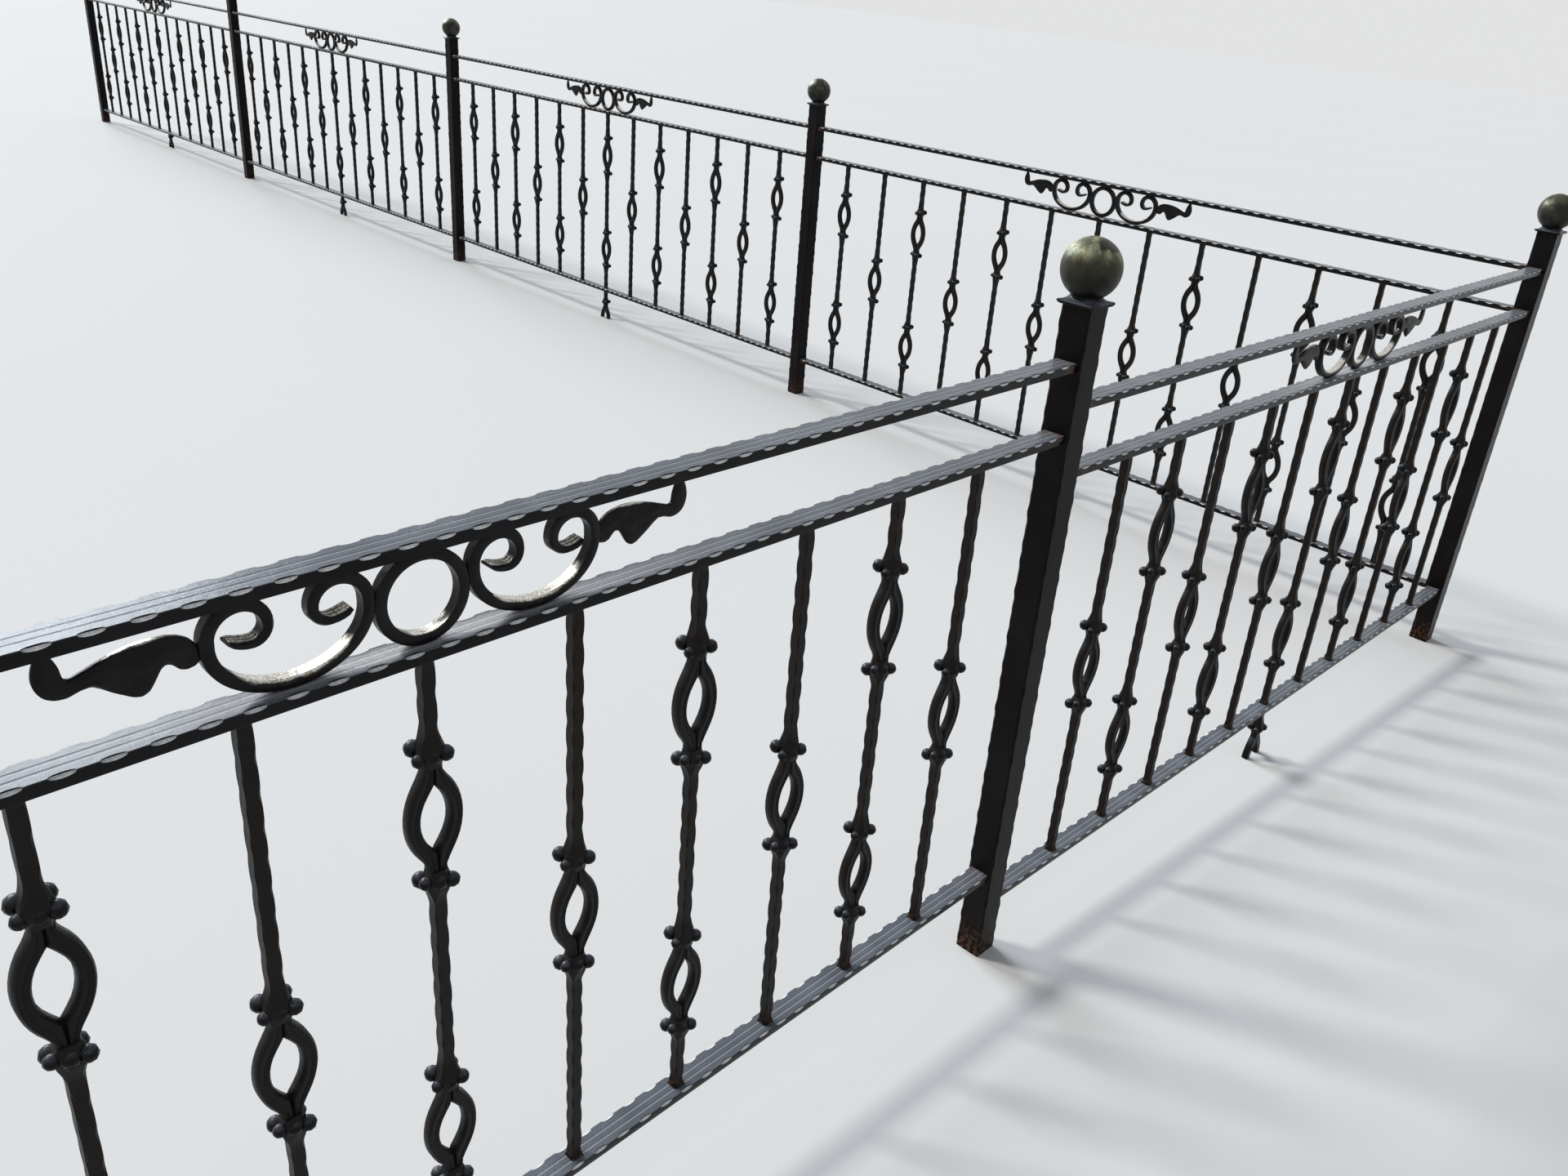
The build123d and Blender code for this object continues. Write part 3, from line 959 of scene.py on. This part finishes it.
def dress_post(name, post_paint, gold):
    """The post with its cap, and the ball on its neck, turned as its run of bays is."""
    foot = post_foot(name)
    height = node_box(f"{name}_post")[1][2] - foot[2] - cap_rise
    near = name.startswith("near")
    onward = post_foot("near_2") - post_foot("near_1") if near else np.array([1.0, 0, 0])
    along = onward[:2] / np.linalg.norm(onward[:2])
    part = joined([post_skin(height), cap_skin(height)])
    piece(f"{name}_post_skin", placed(part, foot, along), post_paint, [f"{name}_post"])
    low, high = node_box(f"{name}_ball")
    radius = (high[0] - low[0]) / 2
    ball = placed(post_ball(radius), (foot[0], foot[1], high[2] - radius), along)
    piece(f"{name}_ball_skin", ball, gold, [f"{name}_ball"])


def dress_bay(name, rail_paint, bar_paint, ornament_paint):
    """Rails, balusters and scrollwork of one bay, placed by the boxes of its nodes.

    Balusters with two knots and with one take turns, and the middle one has two.
    """
    lower, upper = (post_foot(post)[:2] for post in bays[name])
    bay = np.linalg.norm(upper - lower)
    along = (upper - lower) / bay
    length = bay - 2 * post_half
    start = lower + along * post_half
    middle = (lower + upper) / 2
    thickness = np.ptp([corner[2] for corner in node_box(f"{name}_top_rail")])
    # The middle rail's top gets a painted glare about its middle
    for kind, patch in (("top_rail", 0), ("middle_rail", middle_rail_glare_reach), ("bottom_rail", 0)):
        low, high = node_box(f"{name}_{kind}")
        part = rail(length, thickness, patch)
        if kind == "bottom_rail":
            drop = high[2] - thickness - low[2]
            part = joined([part, moved(leg(drop), length / 2, 0, -thickness)])
        part = placed(part, (*start, high[2]), along)
        piece(f"{name}_{kind}_skin", part, rail_paint, [f"{name}_{kind}"])

    low, high = node_box(f"{name}_balusters")
    head = high[2] - low[2]
    count, end_space = rows[name.split("_")[0]]
    offsets = np.linspace(end_space, bay - end_space, count) - bay / 2
    spots = np.stack([offsets, np.zeros(count), np.zeros(count)], -1)
    doubles = (np.arange(count) - count // 2) % 2 == 0
    double = baluster([knot_end_space, head - knot_end_space], head)
    single = baluster([head / 2], head)
    row = joined([copies(double, spots[doubles]), copies(single, spots[~doubles])])
    row = placed(row, (*middle, low[2]), along)
    piece(f"{name}_balusters_skin", row, bar_paint, [f"{name}_balusters"], crease=42.0)

    low, high = node_box(f"{name}_scrollwork")
    frieze = placed(ornament(high[2] - low[2]), (*middle, low[2]), along)
    piece(f"{name}_scrollwork_skin", frieze, ornament_paint, [f"{name}_scrollwork"], crease=42.0)


# The floor: how far it reaches and how far it lies under the feet, in metres, and its tones
floor_reach = 90.0
floor_gap = 0.0006
floor_base = (0.76, 0.755, 0.74)
floor_dark = (0.757, 0.752, 0.74, 1)
floor_light = (0.764, 0.759, 0.747, 1)


def floor():
    """A plain pale plane through the feet of the corner post and of the two posts beside it."""
    corner, near, far = (node_box(f"{post}_post")[0] for post in ("corner", "near_1", "far_1"))
    slope_x = (near[2] - corner[2]) / (near[0] - corner[0])
    slope_y = (far[2] - corner[2]) / (far[1] - corner[1])
    corners = [(x, y, (slope_x * x + slope_y * y) - floor_gap) for x, y in
               ((-floor_reach, -floor_reach), (floor_reach, -floor_reach),
                (floor_reach, floor_reach), (-floor_reach, floor_reach))]
    mesh = bpy.data.meshes.new("floor")
    mesh.from_pydata(corners, [], [(0, 1, 2, 3)])
    material, shader = recipe("pale_floor", floor_base, 0.9, 0.2)
    nodes = Nodes(material)
    cloud = nodes.between(nodes.noise(scale=0.4, detail=2), 0.3, 0.7)
    nodes.feed(shader.inputs["Base Color"], nodes.blend(cloud, floor_dark, floor_light))
    mesh.materials.append(material)
    thing = bpy.data.objects.new("floor", mesh)
    bpy.context.scene.collection.objects.link(thing)


def camera():
    """The photograph's view: where it stood, its heading, downward tilt and roll, and its lens."""
    place = np.array([-3.1768, -0.8367, 1.3948])
    heading, tilt, roll = math.radians(47.216), math.radians(-25.173), math.radians(5.111)
    focal_pixels, image_width = 1562.2, 1920.0
    centre_right, centre_down = 33.6, -21.1
    ahead = np.array([math.sin(heading) * math.cos(tilt), math.cos(heading) * math.cos(tilt),
                      math.sin(tilt)])
    level = np.cross(ahead, (0, 0, 1))
    level /= np.linalg.norm(level)
    above = np.cross(level, ahead)
    right = math.cos(roll) * level + math.sin(roll) * above
    up = -math.sin(roll) * level + math.cos(roll) * above
    data = bpy.data.cameras.new("camera")
    data.sensor_width = 36.0
    data.lens = data.sensor_width * focal_pixels / image_width
    data.shift_x, data.shift_y = -centre_right / image_width, centre_down / image_width
    data.clip_start, data.clip_end = 0.02, 400.0
    thing = bpy.data.objects.new("camera", data)
    turn = Matrix(np.array([right, up, -ahead]).T.tolist()).to_4x4()
    thing.matrix_world = Matrix.Translation(place) @ turn
    bpy.context.scene.collection.objects.link(thing)
    bpy.context.scene.camera = thing


def sunlight(name, bearing, height, breadth, strength, colour):
    """A soft, even light from far away, by its bearing, height and breadth in degrees."""
    data = bpy.data.lights.new(name, "SUN")
    data.angle, data.energy, data.color = math.radians(breadth), strength, colour
    thing = bpy.data.objects.new(name, data)
    thing.rotation_euler = (math.radians(height - 90), 0, math.radians(-bearing))
    bpy.context.scene.collection.objects.link(thing)


# The even sky that lights the railing, and the pale background that is seen and mirrored
sky_colour, sky_strength = (0.86, 0.91, 1.0, 1), 0.36
background_colour = (0.76, 0.765, 0.77, 1)


def light():
    """An even sky, a soft sun high on the left, and a broad low glow for the rails' tops."""
    world = bpy.data.worlds.new("sky")
    world.use_nodes = True
    tree = world.node_tree
    sky = tree.nodes["Background"]
    sky.inputs["Color"].default_value = sky_colour
    sky.inputs["Strength"].default_value = sky_strength
    seen = tree.nodes.new("ShaderNodeBackground")
    seen.inputs["Color"].default_value = background_colour
    path = tree.nodes.new("ShaderNodeLightPath")
    either = path.outputs["Is Camera Ray"]
    for ray in ("Is Glossy Ray", "Is Transmission Ray"):
        most = tree.nodes.new("ShaderNodeMath")
        most.operation = "MAXIMUM"
        tree.links.new(either, most.inputs[0])
        tree.links.new(path.outputs[ray], most.inputs[1])
        either = most.outputs[0]
    choose = tree.nodes.new("ShaderNodeMixShader")
    tree.links.new(either, choose.inputs[0])
    tree.links.new(sky.outputs[0], choose.inputs[1])
    tree.links.new(seen.outputs[0], choose.inputs[2])
    tree.links.new(choose.outputs[0], tree.nodes["World Output"].inputs["Surface"])
    bpy.context.scene.world = world
    sunlight("sun", bearing=-28.0, height=44.0, breadth=9.0, strength=1.4,
             colour=(1.0, 0.97, 0.91))
    sunlight("glow", bearing=3.0, height=26.0, breadth=29.0, strength=2.9,
             colour=(0.88, 0.94, 1.0))


post_paint = black_paint("post_paint", shine=0.06, gloss=(0.28, 0.62),
                         worn_colour=(0.034, 0.019, 0.011), dust_and_sheen_share=0.5,
                         dimple=45.0, depth=0.0006)
# The rails' wear colour is near-white: it paints highlights on the dents' shelves, the grooves'
# edges and the middle rail's glare
rail_paint = black_paint("rail_paint", shine=0.12, gloss=(0.20, 0.63),
                         worn_colour=(0.95, 0.94, 0.91), dust_and_sheen_share=0.9,
                         dimple=110.0, depth=0.0004)
bar_paint = black_paint("bar_paint", shine=0.12, gloss=(0.30, 0.60),
                        worn_colour=(0.016, 0.012, 0.009), dust_and_sheen_share=0.4,
                        dimple=130.0, depth=0.0010)
ornament_paint = scroll_paint("scroll_paint")
gold = brushed_gold("ball_gold")

for name in posts:
    dress_post(name, post_paint, gold)
for name in bays:
    dress_bay(name, rail_paint, bar_paint, ornament_paint)
floor()
camera()
light()
bpy.context.scene.view_settings.view_transform = "Standard"
